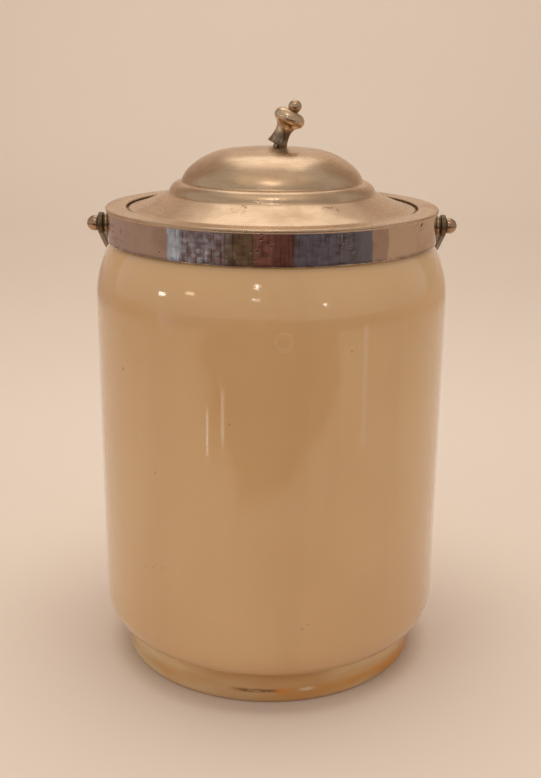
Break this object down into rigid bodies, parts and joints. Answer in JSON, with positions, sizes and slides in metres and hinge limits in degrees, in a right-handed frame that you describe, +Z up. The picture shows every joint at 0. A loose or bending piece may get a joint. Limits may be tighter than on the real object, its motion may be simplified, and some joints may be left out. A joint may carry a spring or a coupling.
{
  "type": "biscuit jar",
  "caption": "Round opal glass storage jar on an amber glass foot, with a plated metal collar, a domed lift-off lid with a leaning knob, and a swing handle",
  "frame": {"origin": "on the jar's own axis, at the underside of the foot ring", "axes": "+Z up along the jar's axis; -Y is the front that the picture shows; +Y is the back, where the swing handle rests; +X is the right seen from the front, through the right pivot"},
  "size_m": [0.134, 0.133, 0.2068],
  "materials": {
    "opal_glass": "polished opal glass, cream, not see-through",
    "amber_glass": "clear amber glass",
    "plaster": "matt setting plaster",
    "collar_plate": "polished plate, brushed fine, pitted",
    "lid_plate": "satin plate, warm grey",
    "cast_fittings": "cast, darkened in the hollows",
    "handle_strap": "rolled strap, dulled",
    "inner_brass": "plain turned"
  },
  "bodies": {
    "jar": {"jar_body": "opal_glass", "foot_rim": "amber_glass", "plaster_bed": "plaster", "collar_band": "collar_plate", "collar_rim": "lid_plate", "boss_left": "cast_fittings", "boss_right": "cast_fittings", "pivot_screw_left": "cast_fittings", "pivot_screw_right": "cast_fittings", "washer_left": "inner_brass", "washer_right": "inner_brass"},
    "handle": {"bail_handle": "handle_strap"},
    "lid": {"lid_shell": "lid_plate", "lid_bezel": "inner_brass", "finial_body": "cast_fittings", "finial_screw": "cast_fittings", "finial_washer": "inner_brass", "finial_nut": "inner_brass"}
  },
  "joints": [
    {"name": "handle_swing", "type": "hinge", "parent": "jar", "child": "handle", "pos_m": [0, 0, 0.1629], "axis": [1, 0, 0], "range_deg": [0, 234]},
    {"name": "lid_lift", "type": "slide", "parent": "jar", "child": "lid", "axis": [0, 0, 1], "range_m": [0, 0.09]}
  ]
}
